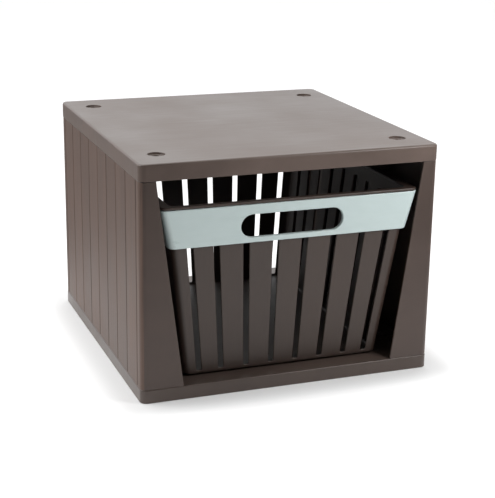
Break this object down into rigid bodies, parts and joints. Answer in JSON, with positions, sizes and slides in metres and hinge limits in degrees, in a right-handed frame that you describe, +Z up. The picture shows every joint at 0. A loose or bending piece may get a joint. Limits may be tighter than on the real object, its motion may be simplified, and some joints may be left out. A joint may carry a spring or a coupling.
{
  "type": "stackable storage box with pull-out basket",
  "caption": "Open-fronted stackable storage box with plank-grooved sides and a tapered slatted basket that pulls out by a grip band.",
  "frame": {"origin": "on the floor, under the middle of the case", "axes": "+Z up, the basket pulls out towards -Y, +X to the right as seen from the front"},
  "size_m": [0.39, 0.406, 0.3],
  "materials": {
    "case_resin": "satin moulded brown resin with a fine wood grain on the sides",
    "basket_resin": "satin moulded brown resin",
    "grip_resin": "smooth semi-gloss light grey-blue"
  },
  "bodies": {
    "case": {"top_panel": "case_resin", "bottom_panel": "case_resin", "side_panel_left": "case_resin", "side_panel_right": "case_resin"},
    "basket": {"basket_floor": "basket_resin", "basket_front_wall": "basket_resin", "basket_back_wall": "basket_resin", "basket_left_wall": "basket_resin", "basket_right_wall": "basket_resin", "rim_front": "basket_resin", "rim_back": "basket_resin", "rim_left": "basket_resin", "rim_right": "basket_resin", "grip_band": "grip_resin"}
  },
  "joints": [
    {"name": "basket_slide", "type": "slide", "parent": "case", "child": "basket", "axis": [0, -1, 0], "range_m": [0, 0.4]}
  ]
}
